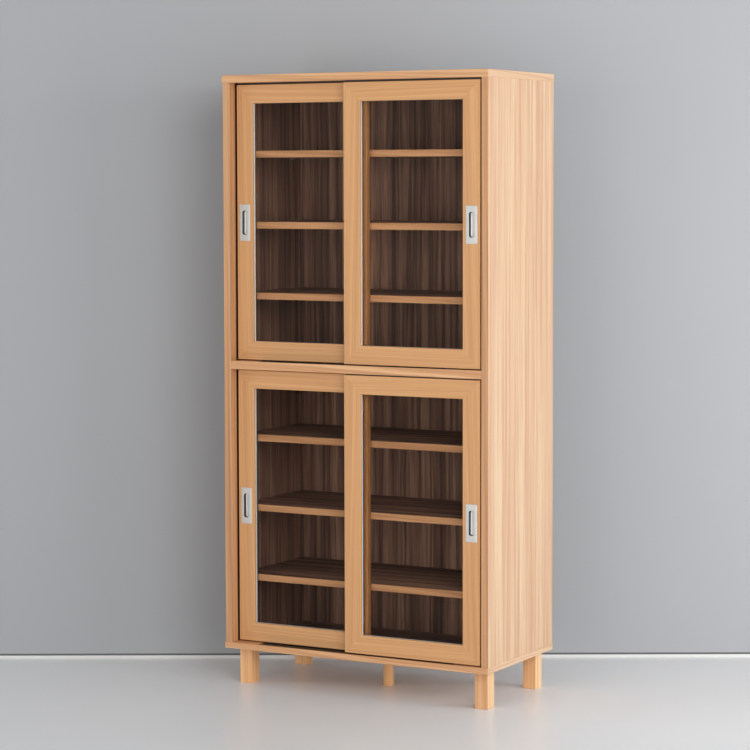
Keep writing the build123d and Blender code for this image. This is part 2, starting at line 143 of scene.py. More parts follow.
class CabinetFittings(bpy.types.PropertyGroup):
    """Sizes and colours of glass, pulls and runners"""

    plate_bevel: distance("Plate bevel", "Eased rim of a pull's plate", 0.0008)
    recess_width: distance("Recess width", "Across a pull's finger recess", 0.017)
    recess_height: distance("Recess height", "Up a pull's finger recess", 0.071)
    recess_corner: distance("Recess corner", "Corner radius of the recess", 0.006)
    recess_lip: distance("Recess lip", "Rolled edge between plate and recess", 0.0006)
    recess_round: distance("Recess round", "Fillet between the recess's walls and floor", 0.003)
    cup_wall: distance("Cup wall", "Thickness of the cup's metal", 0.0012)
    loop_points: IntProperty(
        name="Loop points", description="Corners in each ring of a pull", default=64
    )
    metal: tone("Pull metal", "Satin metal of the pulls", (0.65, 0.635, 0.60))
    # The recess's floor is painted brighter as painted light, and its walls darker as painted shade
    recess_floor: tone("Recess floor", "Bright metal of the recess's floor", (0.86, 0.86, 0.85))
    recess_wall: tone("Recess wall", "Darkened metal of the recess's walls", (0.10, 0.085, 0.07))
    glass: tone("Glass", "Tint of the panes", (0.82, 0.83, 0.82))
    upper_index: ratio("Upper index", "Glass index of the upper panes", 1.20)
    lower_index: ratio("Lower index", "Glass index of the lower panes", 1.12)
    upper_film: tone("Upper film", "Share of light through the upper panes", (0.76, 0.73, 0.69))
    lower_film: tone("Lower film", "Share of light through the lower panes", (0.62, 0.60, 0.57))
    channel: tone("Channel", "White glazing channel", (0.95, 0.94, 0.93))
    # The rebate behind the panes is painted near black, as painted shade behind the glass
    shaded_rebate: tone("Rebate", "Dark rebate behind the panes", (0.030, 0.010, 0.004))
    bead_setback: distance("Bead setback", "From a door's face to its white glazing bead", 0.0072)
    bead_width: distance("Bead width", "Depth of the white glazing bead", 0.0080)
    # A near-black strip on the side panels' inner faces, from the rear doors' faces back to the
    # walnut
    dark_strip: tone("Felt", "Dark felt strip beside the doors' edges", (0.022, 0.010, 0.006))
    track: tone("Track", "Dark brown runner strip", (0.020, 0.014, 0.011))
    housing: tone("Housing", "Dark brown roller housing", (0.030, 0.021, 0.017))
    nylon: tone("Nylon", "Dark nylon rollers", (0.045, 0.040, 0.036))
    nickel: tone("Nickel", "Shelf pins", (0.66, 0.63, 0.58))
    steel: tone("Steel", "Leg bolts", (0.56, 0.56, 0.57))


class CabinetStage(bpy.types.PropertyGroup):
    """Floor, backdrop, lamps and camera"""

    floor: tone("Floor", "Pale floor", (0.877, 0.892, 0.904))
    backdrop: tone("Backdrop", "Plain wall behind the cabinet", (0.364, 0.373, 0.387))
    skirting: tone("Skirting", "Pale trim along the wall's foot", (0.66, 0.655, 0.64))
    # The shadow gap is a flat dark strip, a painted shadow over the trim
    shadow_gap: tone("Shadow gap", "Dark line over the trim", (0.10, 0.105, 0.105))
    floor_size: distance("Floor size", "Across the square floor", 40.0)
    wall_distance: distance("Wall distance", "From under the camera to the wall's foot", 7.68)
    wall_width: distance("Wall width", "Across the wall and its trim", 14.0)
    wall_height: distance("Wall height", "Top of the wall", 6.0)
    skirting_height: distance("Skirting height", "Top of the trim", 0.009)
    gap_height: distance("Gap height", "Top of the dark line over the trim", 0.015)
    room: tone("Room", "Even light of the room", (0.385, 0.385, 0.385))
    aim_height: distance("Aim height", "Point of the cabinet that the lamps face", 0.95)
    front_power: watts("Front power", "Soft light from straight in front", 130.0)
    wide_power: watts("Wide power", "Wide light from the right of the front", 138.0)
    high_power: watts("High power", "Light from above the wide one", 104.0)
    window_power: watts("Window power", "Window-like light from the right", 115.0)
    left_power: watts("Left power", "Weak light from the left", 66.0)
    camera_place: FloatVectorProperty(
        name="Camera place",
        description="Where the camera stands",
        default=(3.4596, -6.3820, 1.5028),
        subtype="TRANSLATION",
        unit="LENGTH",
    )
    camera_yaw: angle("Camera yaw", "Turn to the left from looking along +Y", 28.76)
    camera_pitch: angle("Camera pitch", "Tilt below level", 3.88)
    camera_roll: angle("Camera roll", "Lean of the camera", -0.12)
    lens: FloatProperty(name="Lens", description="Focal length", default=118.94, unit="CAMERA")
    shift: ratio("Shift", "Vertical shift, in frame widths", -0.04)


# ---------------------------------------------------------------- node helpers


def put(tree, kind, inputs=None, **settings):
    """Add a node with its options, and set or link its inputs."""
    node = tree.nodes.new(kind)
    for option, value in settings.items():
        setattr(node, option, value)
    for key, value in (inputs or {}).items():
        socket = node.inputs[key]
        if isinstance(value, bpy.types.NodeSocket):
            tree.links.new(value, socket)
        elif socket.type == "RGBA" and len(value) == 3:
            socket.default_value = (*value, 1.0)
        else:
            socket.default_value = value
    return node


def maths(tree, operation, *values):
    """A Math node's result."""
    return put(tree, "ShaderNodeMath", dict(enumerate(values)), operation=operation).outputs[0]


def vector_maths(tree, operation, first, second=(0.0, 0.0, 0.0)):
    """A Vector Math node's vector."""
    inputs = {0: first, 1: second}
    return put(tree, "ShaderNodeVectorMath", inputs, operation=operation).outputs["Vector"]


def dot(tree, first, second):
    """The dot product of two vectors."""
    inputs = {0: first, 1: second}
    return put(tree, "ShaderNodeVectorMath", inputs, operation="DOT_PRODUCT").outputs["Value"]


def point(tree, x, y, z):
    """A vector from three values."""
    return put(tree, "ShaderNodeCombineXYZ", {0: x, 1: y, 2: z}).outputs[0]


def remap(tree, value, low, high, to_low=0.0, to_high=1.0, step="SMOOTHSTEP"):
    """A step from low to high, smooth unless another is named."""
    inputs = {"Value": value, "From Min": low, "From Max": high}
    inputs.update({"To Min": to_low, "To Max": to_high})
    return put(tree, "ShaderNodeMapRange", inputs, interpolation_type=step).outputs[0]


def mix(tree, amount, first, second):
    """Two colours mixed by an amount."""
    inputs = {0: amount, 6: first, 7: second}
    return put(tree, "ShaderNodeMix", inputs, data_type="RGBA").outputs[2]


def noise(tree, vector, detail, roughness):
    """Noise with cells one unit across."""
    inputs = {"Vector": vector, "Scale": 1.0, "Detail": detail, "Roughness": roughness}
    return put(tree, "ShaderNodeTexNoise", inputs).outputs[0]


def group(name, inputs, outputs):
    """Start a node group with named sockets, and return it with its input and output ends."""
    tree = bpy.data.node_groups.new(name, "ShaderNodeTree")
    sockets = tree.interface
    for socket, (kind, value) in inputs.items():
        made = sockets.new_socket(name=socket, in_out="INPUT", socket_type="NodeSocket" + kind)
        made.default_value = value
    for socket, kind in outputs.items():
        sockets.new_socket(name=socket, in_out="OUTPUT", socket_type="NodeSocket" + kind)
    return tree, put(tree, "NodeGroupInput").outputs, put(tree, "NodeGroupOutput").inputs


def use_group(tree, name, inputs):
    """Place a node group in a tree and return its outputs."""
    return put(tree, "ShaderNodeGroup", inputs, node_tree=bpy.data.node_groups[name]).outputs


def material(name, shader_inputs):
    """A material of one Principled shader, with its tree and that shader."""
    made = bpy.data.materials.new(name)
    made.use_nodes = True
    tree = made.node_tree
    tree.nodes.clear()
    shader = put(tree, "ShaderNodeBsdfPrincipled", shader_inputs)
    put(tree, "ShaderNodeOutputMaterial", {"Surface": shader.outputs[0]})
    return made, tree, shader


def mottled(tree, colour, scale, least):
    """A colour with slow unevenness, down to the share least of it."""
    shade = use_group(tree, "soft_mottle", {"Scale": scale, "Low": least, "High": 1.0})["Value"]
    return mix(tree, shade, (0.0, 0.0, 0.0), tuple(colour))


def add_relief(tree, shader, height, strength, depth):
    """Give a shader a fine relief, depth metres deep."""
    bump = put(tree, "ShaderNodeBump", {"Height": height, "Strength": strength, "Distance": depth})
    tree.links.new(bump.outputs[0], shader.inputs["Normal"])


def show_either(tree, amount, first, second):
    """Show the first shader, or the second where the amount is one."""
    inputs = {0: amount, 1: first.outputs[0], 2: second.outputs[0]}
    shown = put(tree, "ShaderNodeMixShader", inputs)
    output = next(node for node in tree.nodes if node.type == "OUTPUT_MATERIAL")
    tree.links.new(shown.outputs[0], output.inputs["Surface"])


def dress(node, finish):
    """Give a node of the frame its finish."""
    for slot in NODES[node].material_slots:
        slot.material = finish


# ---------------------------------------------------------------- shared effects


def build_board_axes():
    """Coordinates along and across the grain on every face of a board."""
    tree, given, result = group(
        "board_axes",
        {
            "Middle": ("Vector", (0.0, 0.0, 0.0)),
            "Grain": ("Vector", ALONG_Z),
            "End Grain": ("Vector", ALONG_Y),
            "Seed": ("Float", 0.0),
        },
        {"Vector": "Vector"},
    )
    place = put(tree, "ShaderNodeTexCoord")
    local = vector_maths(tree, "SUBTRACT", place.outputs["Object"], given["Middle"])
    facing = maths(tree, "ABSOLUTE", dot(tree, place.outputs["Normal"], given["Grain"]))
    # Past this much of the grain's direction, a face counts as the board's end
    on_end = maths(tree, "GREATER_THAN", facing, 0.8)
    direction_inputs = {0: on_end, 4: given["Grain"], 5: given["End Grain"]}
    direction = put(tree, "ShaderNodeMix", direction_inputs, data_type="VECTOR").outputs[1]
    along = dot(tree, local, direction)
    across = maths(tree, "SUBTRACT", dot(tree, local, (1.0, 1.0, 1.0)), along)
    tree.links.new(point(tree, across, given["Seed"], along), result["Vector"])


def build_wood_figure():
    """Growth rings, colour bands, fibres and flecks of a sawn face."""
    tree, given, result = group(
        "wood_figure",
        {
            "Vector": ("Vector", (0.0, 0.0, 0.0)),
            "Straight": ("Float", 1.0),
            "Bow": ("Float", 0.0),
            "Slope": ("Float", 0.0),
            "Waver": ("Float", 0.002),
            "Ring Pitch": ("Float", 0.004),
            "Band Width": ("Float", 0.03),
            "Fibre Pitch": ("Float", 0.0011),
        },
        {"Rings": "Float", "Bands": "Float", "Fibres": "Float", "Flecks": "Float"},
    )
    across, seed, along = put(tree, "ShaderNodeSeparateXYZ", {0: given["Vector"]}).outputs

    def drawn_out(sideways, layer, stretch, detail=2.0, roughness=0.5):
        """Noise over a scaled place across the grain, drawn out along it; a layer is its seed."""
        place = point(tree, sideways, layer, maths(tree, "MULTIPLY", along, stretch))
        return noise(tree, place, detail, roughness)

    slow = drawn_out(maths(tree, "MULTIPLY", across, 9.0), seed, stretch=2.2)
    waver = maths(tree, "MULTIPLY", maths(tree, "SUBTRACT", slow, 0.5), given["Waver"])
    bow = maths(tree, "MULTIPLY", maths(tree, "MULTIPLY", across, across), given["Bow"])
    slope = maths(tree, "MULTIPLY_ADD", along, given["Slope"], waver)
    bent = maths(tree, "ADD", bow, slope)
    depth = maths(tree, "MULTIPLY_ADD", across, given["Straight"], bent)

    # Rings and bands have layers of their own, so that they don't follow the waver
    ring_layer, band_layer = maths(tree, "ADD", seed, 3.7), maths(tree, "ADD", seed, 9.1)
    ring = maths(tree, "DIVIDE", depth, given["Ring Pitch"])
    rings = drawn_out(ring, ring_layer, stretch=1.3, detail=3.0, roughness=0.6)
    band = maths(tree, "DIVIDE", depth, given["Band Width"])
    bands = drawn_out(band, band_layer, stretch=0.7)
    fibre = maths(tree, "DIVIDE", across, given["Fibre Pitch"])
    fibres = drawn_out(fibre, seed, stretch=9.0, detail=3.0, roughness=0.6)
    fleck = maths(tree, "MULTIPLY", across, 70.0)
    flecks = drawn_out(fleck, seed, stretch=9.0, detail=1.0)
    tree.links.new(rings, result["Rings"])
    tree.links.new(bands, result["Bands"])
    tree.links.new(fibres, result["Fibres"])
    tree.links.new(remap(tree, flecks, 0.74, 0.82), result["Flecks"])


def build_wood_tint():
    """The colour and fine relief of wood from its figure."""
    tree, given, result = group(
        "wood_tint",
        {
            "Light": ("Color", (0.7, 0.4, 0.2, 1.0)),
            "Dark": ("Color", (0.5, 0.3, 0.1, 1.0)),
            "Streak": ("Color", (0.4, 0.2, 0.1, 1.0)),
            "Rings": ("Float", 0.5),
            "Bands": ("Float", 0.5),
            "Fibres": ("Float", 0.5),
            "Flecks": ("Float", 0.0),
            "Ring Strength": ("Float", 0.5),
            "Fibre Strength": ("Float", 0.2),
        },
        {"Color": "Color", "Height": "Float"},
    )
    # The two numbers of a remap are the noise at which a mark starts and at which it is full
    colour = mix(tree, remap(tree, given["Bands"], 0.32, 0.68), given["Light"], given["Dark"])
    fibres = remap(tree, given["Fibres"], 0.35, 0.7)
    fleck_strength = 0.45
    marks = (
        (remap(tree, given["Rings"], 0.42, 0.64), given["Ring Strength"]),
        (fibres, given["Fibre Strength"]),
        (given["Flecks"], fleck_strength),
    )
    for mark, strength in marks:
        colour = mix(tree, maths(tree, "MULTIPLY", mark, strength), colour, given["Streak"])
    tree.links.new(colour, result["Color"])
    tree.links.new(maths(tree, "SUBTRACT", 1.0, fibres), result["Height"])


def build_within_box():
    """One inside an upright box, nought outside it."""
    tree, given, result = group(
        "within_box",
        {"Low": ("Vector", (0.0, 0.0, 0.0)), "High": ("Vector", (1.0, 1.0, 1.0))},
        {"Mask": "Float"},
    )
    place = put(tree, "ShaderNodeTexCoord").outputs["Object"]
    # Twice each length, so that the box's middle and half span need no halving
    middle = vector_maths(tree, "ADD", given["Low"], given["High"])
    span = vector_maths(tree, "SUBTRACT", given["High"], given["Low"])
    twice = vector_maths(tree, "MULTIPLY", place, (2.0, 2.0, 2.0))
    offset = vector_maths(tree, "ABSOLUTE", vector_maths(tree, "SUBTRACT", twice, middle))
    spare = vector_maths(tree, "SUBTRACT", span, offset)
    spares = put(tree, "ShaderNodeSeparateXYZ", {0: spare}).outputs
    least = maths(tree, "MINIMUM", maths(tree, "MINIMUM", spares[0], spares[1]), spares[2])
    tree.links.new(maths(tree, "GREATER_THAN", least, 0.0), result["Mask"])


def build_soft_mottle():
    """Slow, faint unevenness for lacquer, metal and moulded plastic."""
    tree, given, result = group(
        "soft_mottle",
        {"Scale": ("Float", 40.0), "Low": ("Float", 0.4), "High": ("Float", 0.6)},
        {"Value": "Float"},
    )
    place = put(tree, "ShaderNodeTexCoord").outputs["Object"]
    scaled = put(tree, "ShaderNodeVectorMath", {0: place, 3: given["Scale"]}, operation="SCALE")
    speckle = noise(tree, scaled.outputs[0], 3.0, 0.55)
    value = remap(tree, speckle, 0.3, 0.7, given["Low"], given["High"], "LINEAR")
    tree.links.new(value, result["Value"])


# ---------------------------------------------------------------- finishes


def wood_colour(tree, wood, node, grain, end_grain, seed, figure):
    """Colour and height of one wood on one board; wood names its tones and seed picks its cut."""
    woods = bpy.context.scene.cabinet_woods
    low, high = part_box(node)
    axes = use_group(
        tree,
        "board_axes",
        {"Middle": tuple((low + high) / 2), "Grain": grain, "End Grain": end_grain, "Seed": seed},
    )
    shape = {key: value for key, value in figure.items() if not key.endswith("Strength")}
    marks = use_group(tree, "wood_figure", {"Vector": axes["Vector"], **shape})
    tint = {key: value for key, value in figure.items() if key.endswith("Strength")}
    for mark in ("Rings", "Bands", "Fibres", "Flecks"):
        tint[mark] = marks[mark]
    for word in ("Light", "Dark", "Streak"):
        tint[word] = tuple(getattr(woods, f"{wood}_{word.lower()}"))
    return use_group(tree, "wood_tint", tint)


SIDE_FIGURE = {
    "Waver": 0.006,
    "Ring Pitch": 0.012,
    "Band Width": 0.040,
    "Fibre Pitch": 0.0045,
    "Ring Strength": 0.80,
    "Fibre Strength": 0.30,
}
EDGING_FIGURE = {
    "Slope": 0.01,
    "Waver": 0.008,
    "Ring Pitch": 0.005,
    "Band Width": 0.011,
    "Fibre Pitch": 0.0025,
    "Ring Strength": 0.6,
    "Fibre Strength": 0.15,
}
BOARD_FIGURE = {
    "Straight": 0.6,
    "Slope": 0.02,
    "Waver": 0.014,
    "Ring Pitch": 0.0045,
    "Band Width": 0.014,
    "Fibre Pitch": 0.0025,
    "Ring Strength": 0.6,
    "Fibre Strength": 0.15,
}
WALNUT_FIGURE = {
    "Waver": 0.016,
    "Ring Pitch": 0.010,
    "Band Width": 0.035,
    "Fibre Pitch": 0.0040,
    "Ring Strength": 0.75,
    "Fibre Strength": 0.45,
}
DOOR_FIGURE = {
    "Waver": 0.006,
    "Ring Pitch": 0.0038,
    "Band Width": 0.014,
    "Fibre Pitch": 0.0024,
    "Ring Strength": 0.5,
    "Fibre Strength": 0.15,
}
LEG_FIGURE = {
    "Straight": 0.8,
    "Bow": 4.0,
    "Waver": 0.010,
    "Ring Pitch": 0.005,
    "Band Width": 0.020,
    "Fibre Pitch": 0.0025,
    "Ring Strength": 0.4,
    "Fibre Strength": 0.15,
}


def wood_surface(name, shader_inputs, smoothest, roughest):
    """A wood material of uneven gloss, without its colour."""
    made, tree, shader = material(name, shader_inputs)
    gloss = {"Scale": 30.0, "Low": smoothest, "High": roughest}
    tree.links.new(use_group(tree, "soft_mottle", gloss)["Value"], shader.inputs["Roughness"])
    return made, tree, shader


def lacquered(name):
    """A satin lacquered wood, as outside the cabinet."""
    lacquer = bpy.context.scene.cabinet_woods.lacquer
    coat = {"IOR": 1.48, "Coat Weight": lacquer, "Coat Roughness": 0.35}
    return wood_surface(name, coat, 0.42, 0.52)


def matt_veneered(name):
    """A matt veneer, as inside the cabinet."""
    return wood_surface(name, {"IOR": 1.22}, 0.52, 0.62)


def finish_wood(tree, shader, colour, height):
    """Join a wood's colour and fine relief to its shader."""
    tree.links.new(colour, shader.inputs["Base Color"])
    add_relief(tree, shader, height, 0.12, 0.4 * MM)


def plain_wood(node, wood, seed, figure, finish=lacquered):
    """One upright wood all over a node."""
    made, tree, shader = finish(node)
    tint = wood_colour(tree, wood, node, ALONG_Z, ALONG_X, seed, figure)
    finish_wood(tree, shader, tint["Color"], tint["Height"])
    dress(node, made)


def within(tree, box):
    """One where a node's faces lie inside a box, nought elsewhere."""
    low, high = box
    return use_group(tree, "within_box", {"Low": tuple(low), "High": tuple(high)})["Mask"]


def lay_over(tree, box, below, above):
    """Lay one wood over another inside a box; a wood is its colour and height."""
    mask = within(tree, box)
    colour = mix(tree, mask, below[0], above[0])
    height = put(tree, "ShaderNodeMix", {0: mask, 2: below[1], 3: above[1]}).outputs[0]
    return colour, height


def door_bar(node, wood, grain, seed, figure, linings):
    """A bar of a door's frame; linings are pairs of a box and the plain colour inside it."""
    made, tree, shader = lacquered(node)
    shown = wood_colour(tree, wood, node, grain, ALONG_Y, seed, figure)
    height = shown["Height"]
    for box, colour in linings:
        shown = lay_over(tree, box, shown, (tuple(colour), height))
    finish_wood(tree, shader, shown[0], shown[1])
    dress(node, made)


def veneered_board(node, wood, seed, walnut_box, finish=lacquered, lit_end_wood=None):
    """A light board, walnut inside a box; the wood named for its right end paints that end paler,
    as painted light from the right.
    """
    made, tree, shader = finish(node)
    light = wood_colour(tree, wood, node, ALONG_X, ALONG_Y, seed, BOARD_FIGURE)
    # A paler wood on the right end is painted light from the lamps on the right
    if lit_end_wood:
        end = wood_colour(tree, lit_end_wood, node, ALONG_X, ALONG_Y, seed + 0.5, BOARD_FIGURE)
        light = lay_over(tree, outer_face_box(node), light, end)
    walnut = wood_colour(tree, "walnut", node, ALONG_X, ALONG_Y, seed + 50.0, WALNUT_FIGURE)
    finish_wood(tree, shader, *lay_over(tree, walnut_box, light, walnut))
    dress(node, made)


def veneered_side(node, seed, outer_box, walnut_box, dark_strip_box):
    """A side panel: pale veneer outside, light edges, walnut and a near-black strip inside."""
    made, tree, shader = lacquered(node)
    edging = wood_colour(tree, "edging", node, ALONG_Z, ALONG_Y, seed, EDGING_FIGURE)
    outer = wood_colour(tree, "side", node, ALONG_Z, ALONG_Y, seed + 20.0, SIDE_FIGURE)
    walnut = wood_colour(tree, "lining", node, ALONG_Z, ALONG_Y, seed + 50.0, WALNUT_FIGURE)
    shown = lay_over(tree, outer_box, edging, outer)
    shown = lay_over(tree, walnut_box, shown, walnut)
    dark_strip = (tuple(bpy.context.scene.cabinet_fittings.dark_strip), walnut["Height"])
    finish_wood(tree, shader, *lay_over(tree, dark_strip_box, shown, dark_strip))
    dress(node, made)


def bay_box():
    """The space inside the carcass that is veneered in walnut."""
    woods = bpy.context.scene.cabinet_woods
    left_low, left_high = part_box("left_side_panel")
    right_low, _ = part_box("right_side_panel")
    shelf_low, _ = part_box("upper_shelf_1")
    _, sheet_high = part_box("back_panel")
    low = Vector((left_high.x - HAIR, shelf_low.y - woods.veneer_border, left_low.z - HAIR))
    high = Vector((right_low.x + HAIR, sheet_high.y, left_high.z + HAIR))
    return low, high


def outer_face_box(node):
    """A thin box over a node's face on the outside of the cabinet, short of its eased edges."""
    ease = 1.0 * MM
    low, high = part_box(node)
    outside = high.x if high.x > 0 else low.x
    return (
        Vector((outside - HAIR, low.y + ease, low.z - HAIR)),
        Vector((outside + HAIR, high.y - ease, high.z + HAIR)),
    )


def sided_leg(node, wood, seed):
    """A leg whose outer face is painted in paler tones, as painted light from the right."""
    made, tree, shader = lacquered(node)
    leg_wood = wood_colour(tree, wood, node, ALONG_Z, ALONG_X, seed, LEG_FIGURE)
    pale = wood_colour(tree, "lit_face", node, ALONG_Z, ALONG_X, seed + 0.5, LEG_FIGURE)
    finish_wood(tree, shader, *lay_over(tree, outer_face_box(node), leg_wood, pale))
    dress(node, made)


class CABINET_OT_dress_carcass(bpy.types.Operator):
    """Give the boards, sides, back sheet and legs their woods"""

    bl_idname = "cabinet.dress_carcass"
    bl_label = "Dress the carcass"

    def execute(self, context):
        bay = bay_box()
        low, high = bay
        # The right ends of the top and bottom boards take the paler side tones, painted light from
        # the lamps on the right
        lit_end_woods = {"bottom_board": "side", "middle_board": None, "top_board": "side"}
        for seed, (node, lit_end_wood) in enumerate(lit_end_woods.items(), start=1):
            veneered_board(node, "board", seed, bay, lit_end_wood=lit_end_wood)
        rear_door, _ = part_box("upper_left_door_left_stile")
        # A near-black strip on the side panels' inner faces, from the rear doors' faces back to the
        # walnut
        dark_strip = (Vector((low.x, rear_door.y, low.z)), Vector((high.x, low.y, high.z)))
        for seed, node in enumerate(("left_side_panel", "right_side_panel"), start=11):
            veneered_side(node, seed, outer_face_box(node), bay, dark_strip)
        plain_wood("back_panel", "walnut", 21.0, WALNUT_FIGURE, matt_veneered)
        for seed, node in enumerate(("front_left_leg", "back_left_leg", "centre_leg"), start=31):
            plain_wood(node, "leg", seed, LEG_FIGURE)
        # The right legs' outer faces are painted paler, as painted light from the right
        sided_leg("front_right_leg", "board", 35.0)
        sided_leg("back_right_leg", "leg", 36.0)
        return {"FINISHED"}


class CABINET_OT_dress_shelves(bpy.types.Operator):
    """Give the shelves walnut faces and a light front edge"""

    bl_idname = "cabinet.dress_shelves"
    bl_label = "Dress the shelves"

    def execute(self, context):
        edge_band = 1.0 * MM
        for seed, node in enumerate(SHELVES, start=41):
            low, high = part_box(node)
            behind_band = Vector((low.x - edge_band, low.y + edge_band, low.z - edge_band))
            beyond = high + Vector((edge_band, edge_band, edge_band))
            veneered_board(node, "shelf", seed, (behind_band, beyond), matt_veneered)
        return {"FINISHED"}


class CABINET_OT_dress_doors(bpy.types.Operator):
    """Give the door frames their wood, and the panes and channels their glass and vinyl"""

    bl_idname = "cabinet.dress_doors"
    bl_label = "Dress the doors"

    def execute(self, context):
        fittings = context.scene.cabinet_fittings
        glass = {
            "upper": pane_glass("upper_panes", fittings.upper_index, fittings.upper_film),
            "lower": pane_glass("lower_panes", fittings.lower_index, fittings.lower_film),
        }
        for number, door in enumerate(DOORS):
            bead, shaded_rebate = glazing_boxes(door)
            linings = (
                (bead, fittings.channel),
                # Behind the bead, the rebate is painted near black, as painted shade
                (shaded_rebate, fittings.shaded_rebate),
                (tongue_box(door), fittings.track),
            )
            for place, bar in enumerate(BARS):
                seed = 61.0 + len(BARS) * number + place
                grain = ALONG_Z if bar.endswith("stile") else ALONG_X
                # Every bar is sawn a little askew, and no two alike
                slope, bow = 0.03 * math.sin(seed * 2.4), 3.0 * math.cos(seed * 1.7)
                figure = {**DOOR_FIGURE, "Slope": slope, "Bow": bow}
                # The rear doors' right stiles take the darker meeting tones, painted shade of the
                # front doors over them
                wood = "shaded_meeting" if bar == "right_stile" and door in REAR_DOORS else "door"
                door_bar(f"{door}_{bar}", wood, grain, seed, figure, linings)
            bay = door.split("_")[0]
            dress(f"{door}_glass", glass[bay])
            dress(f"{door}_glazing_channel", glazing_vinyl(door, shaded_rebate))
        return {"FINISHED"}


def glazing_boxes(door):
    """Two boxes round a door's opening: its white glazing bead, and the rebate behind it, painted
    near black as painted shade.
    """
    fittings = bpy.context.scene.cabinet_fittings
    left_low, left_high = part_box(f"{door}_left_stile")
    right_low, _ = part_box(f"{door}_right_stile")
    _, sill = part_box(f"{door}_bottom_rail")
    head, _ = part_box(f"{door}_top_rail")
    front = left_low.y + fittings.bead_setback
    back = front + fittings.bead_width
    west, east = left_high.x - HAIR, right_low.x + HAIR
    foot, top = sill.z - HAIR, head.z + HAIR
    bead = (Vector((west, front, foot)), Vector((east, back, top)))
    shaded_rebate = (Vector((west, back, foot)), Vector((east, left_high.y - HAIR, top)))
    return bead, shaded_rebate


def glazing_vinyl(door, shaded_rebate):
    """White vinyl channel, painted near black as painted shade where it lines the rebate behind the
    pane.
    """
    fittings = bpy.context.scene.cabinet_fittings
    made, tree, shader = material(f"{door}_vinyl", {"Roughness": 0.55, "IOR": 1.5})
    dark, white = tuple(fittings.shaded_rebate), tuple(fittings.channel)
    colour = mix(tree, within(tree, shaded_rebate), white, dark)
    tree.links.new(colour, shader.inputs["Base Color"])
    return made


def tongue_box(door):
    """The space over a door's frame that holds its tongue."""
    _, frame_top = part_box(f"{door}_left_stile")
    low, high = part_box(f"{door}_top_rail")
    # Less than a hair, so that the frame's own top keeps its wood
    foot = frame_top.z + 0.1 * MM
    return Vector((low.x - MM, low.y - MM, foot)), high + Vector((MM, MM, MM))


def pane_glass(name, index, share_through):
    """Clear float glass that lets a share of the lamps' light through to what is behind it."""
    shader_inputs = {
        "Base Color": tuple(bpy.context.scene.cabinet_fittings.glass),
        "Roughness": 0.0,
        "IOR": index,
        "Transmission Weight": 1.0,
    }
    made, tree, shader = material(name, shader_inputs)
    film = put(tree, "ShaderNodeBsdfTransparent", {"Color": tuple(share_through)})
    lamp_ray = put(tree, "ShaderNodeLightPath").outputs["Is Shadow Ray"]
    show_either(tree, lamp_ray, shader, film)
    return made


def moulded(name, colour, roughness):
    """Moulded plastic with faint mottling."""
    made, tree, shader = material(name, {"IOR": 1.5})
    tree.links.new(mottled(tree, colour, 120.0, 0.9), shader.inputs["Base Color"])
    spread = 0.05
    gloss = {"Scale": 400.0, "Low": roughness - spread, "High": roughness + spread}
    rough = use_group(tree, "soft_mottle", gloss)["Value"]
    tree.links.new(rough, shader.inputs["Roughness"])
    add_relief(tree, shader, rough, 0.3, 0.1 * MM)
    return made


def brushed(name, colour, roughness, grain, metallic=1.0):
    """Metal with a fine brushed grain; grain stretches the pattern along X, Y and Z."""
    made, tree, shader = material(name, {"Metallic": metallic})
    place = put(tree, "ShaderNodeTexCoord").outputs["Object"]
    lines = noise(tree, vector_maths(tree, "MULTIPLY", place, grain), 3.0, 0.6)
    darker = tuple(0.88 * part for part in colour)
    tree.links.new(mix(tree, lines, tuple(colour), darker), shader.inputs["Base Color"])
    spread = 0.06
    rough = remap(tree, lines, 0.3, 0.7, roughness - spread, roughness + spread)
    tree.links.new(rough, shader.inputs["Roughness"])
    add_relief(tree, shader, lines, 0.15, 0.05 * MM)
    return made


class CABINET_OT_dress_fittings(bpy.types.Operator):
    """Give the tracks, rollers, housings, shelf pins and leg bolts their finishes"""

    bl_idname = "cabinet.dress_fittings"
    bl_label = "Dress the fittings"

    def execute(self, context):
        fittings = context.scene.cabinet_fittings
        dress("door_tracks", moulded("track_plastic", fittings.track, 0.38))
        dress("shelf_pins", brushed("nickel", fittings.nickel, 0.3, (600.0, 600.0, 600.0)))
        dress("leg_bolts", brushed("bolt_steel", fittings.steel, 0.4, (900.0, 900.0, 200.0)))
        housing = moulded("housing_plastic", fittings.housing, 0.45)
        nylon = moulded("roller_nylon", fittings.nylon, 0.35)
        for door in DOORS:
            dress(f"{door}_roller_housings", housing)
            dress(f"{door}_left_roller", nylon)
            dress(f"{door}_right_roller", nylon)
        return {"FINISHED"}


# ---------------------------------------------------------------- pulls


def only_select(piece):
    """Leave a single piece selected and active."""
    bpy.ops.object.select_all(action="DESELECT")
    piece.select_set(True)
    bpy.context.view_layer.objects.active = piece


def move_ring(mesh, old, new):
    """Move the selected ring from one rounded rectangle to another; new also gives its depth."""
    old_width, old_height, old_corner = old[:3]
    width, height, corner, depth = new
    for vertex in mesh.vertices:
        if not vertex.select:
            continue
        right = math.copysign(1.0, vertex.co.x)
        up = math.copysign(1.0, vertex.co.z)
        aside = vertex.co.x - right * (old_width / 2 - old_corner)
        above = vertex.co.z - up * (old_height / 2 - old_corner)
        vertex.co.x = right * (width / 2 - corner) + aside * corner / old_corner
        vertex.co.z = up * (height / 2 - corner) + above * corner / old_corner
        vertex.co.y = depth


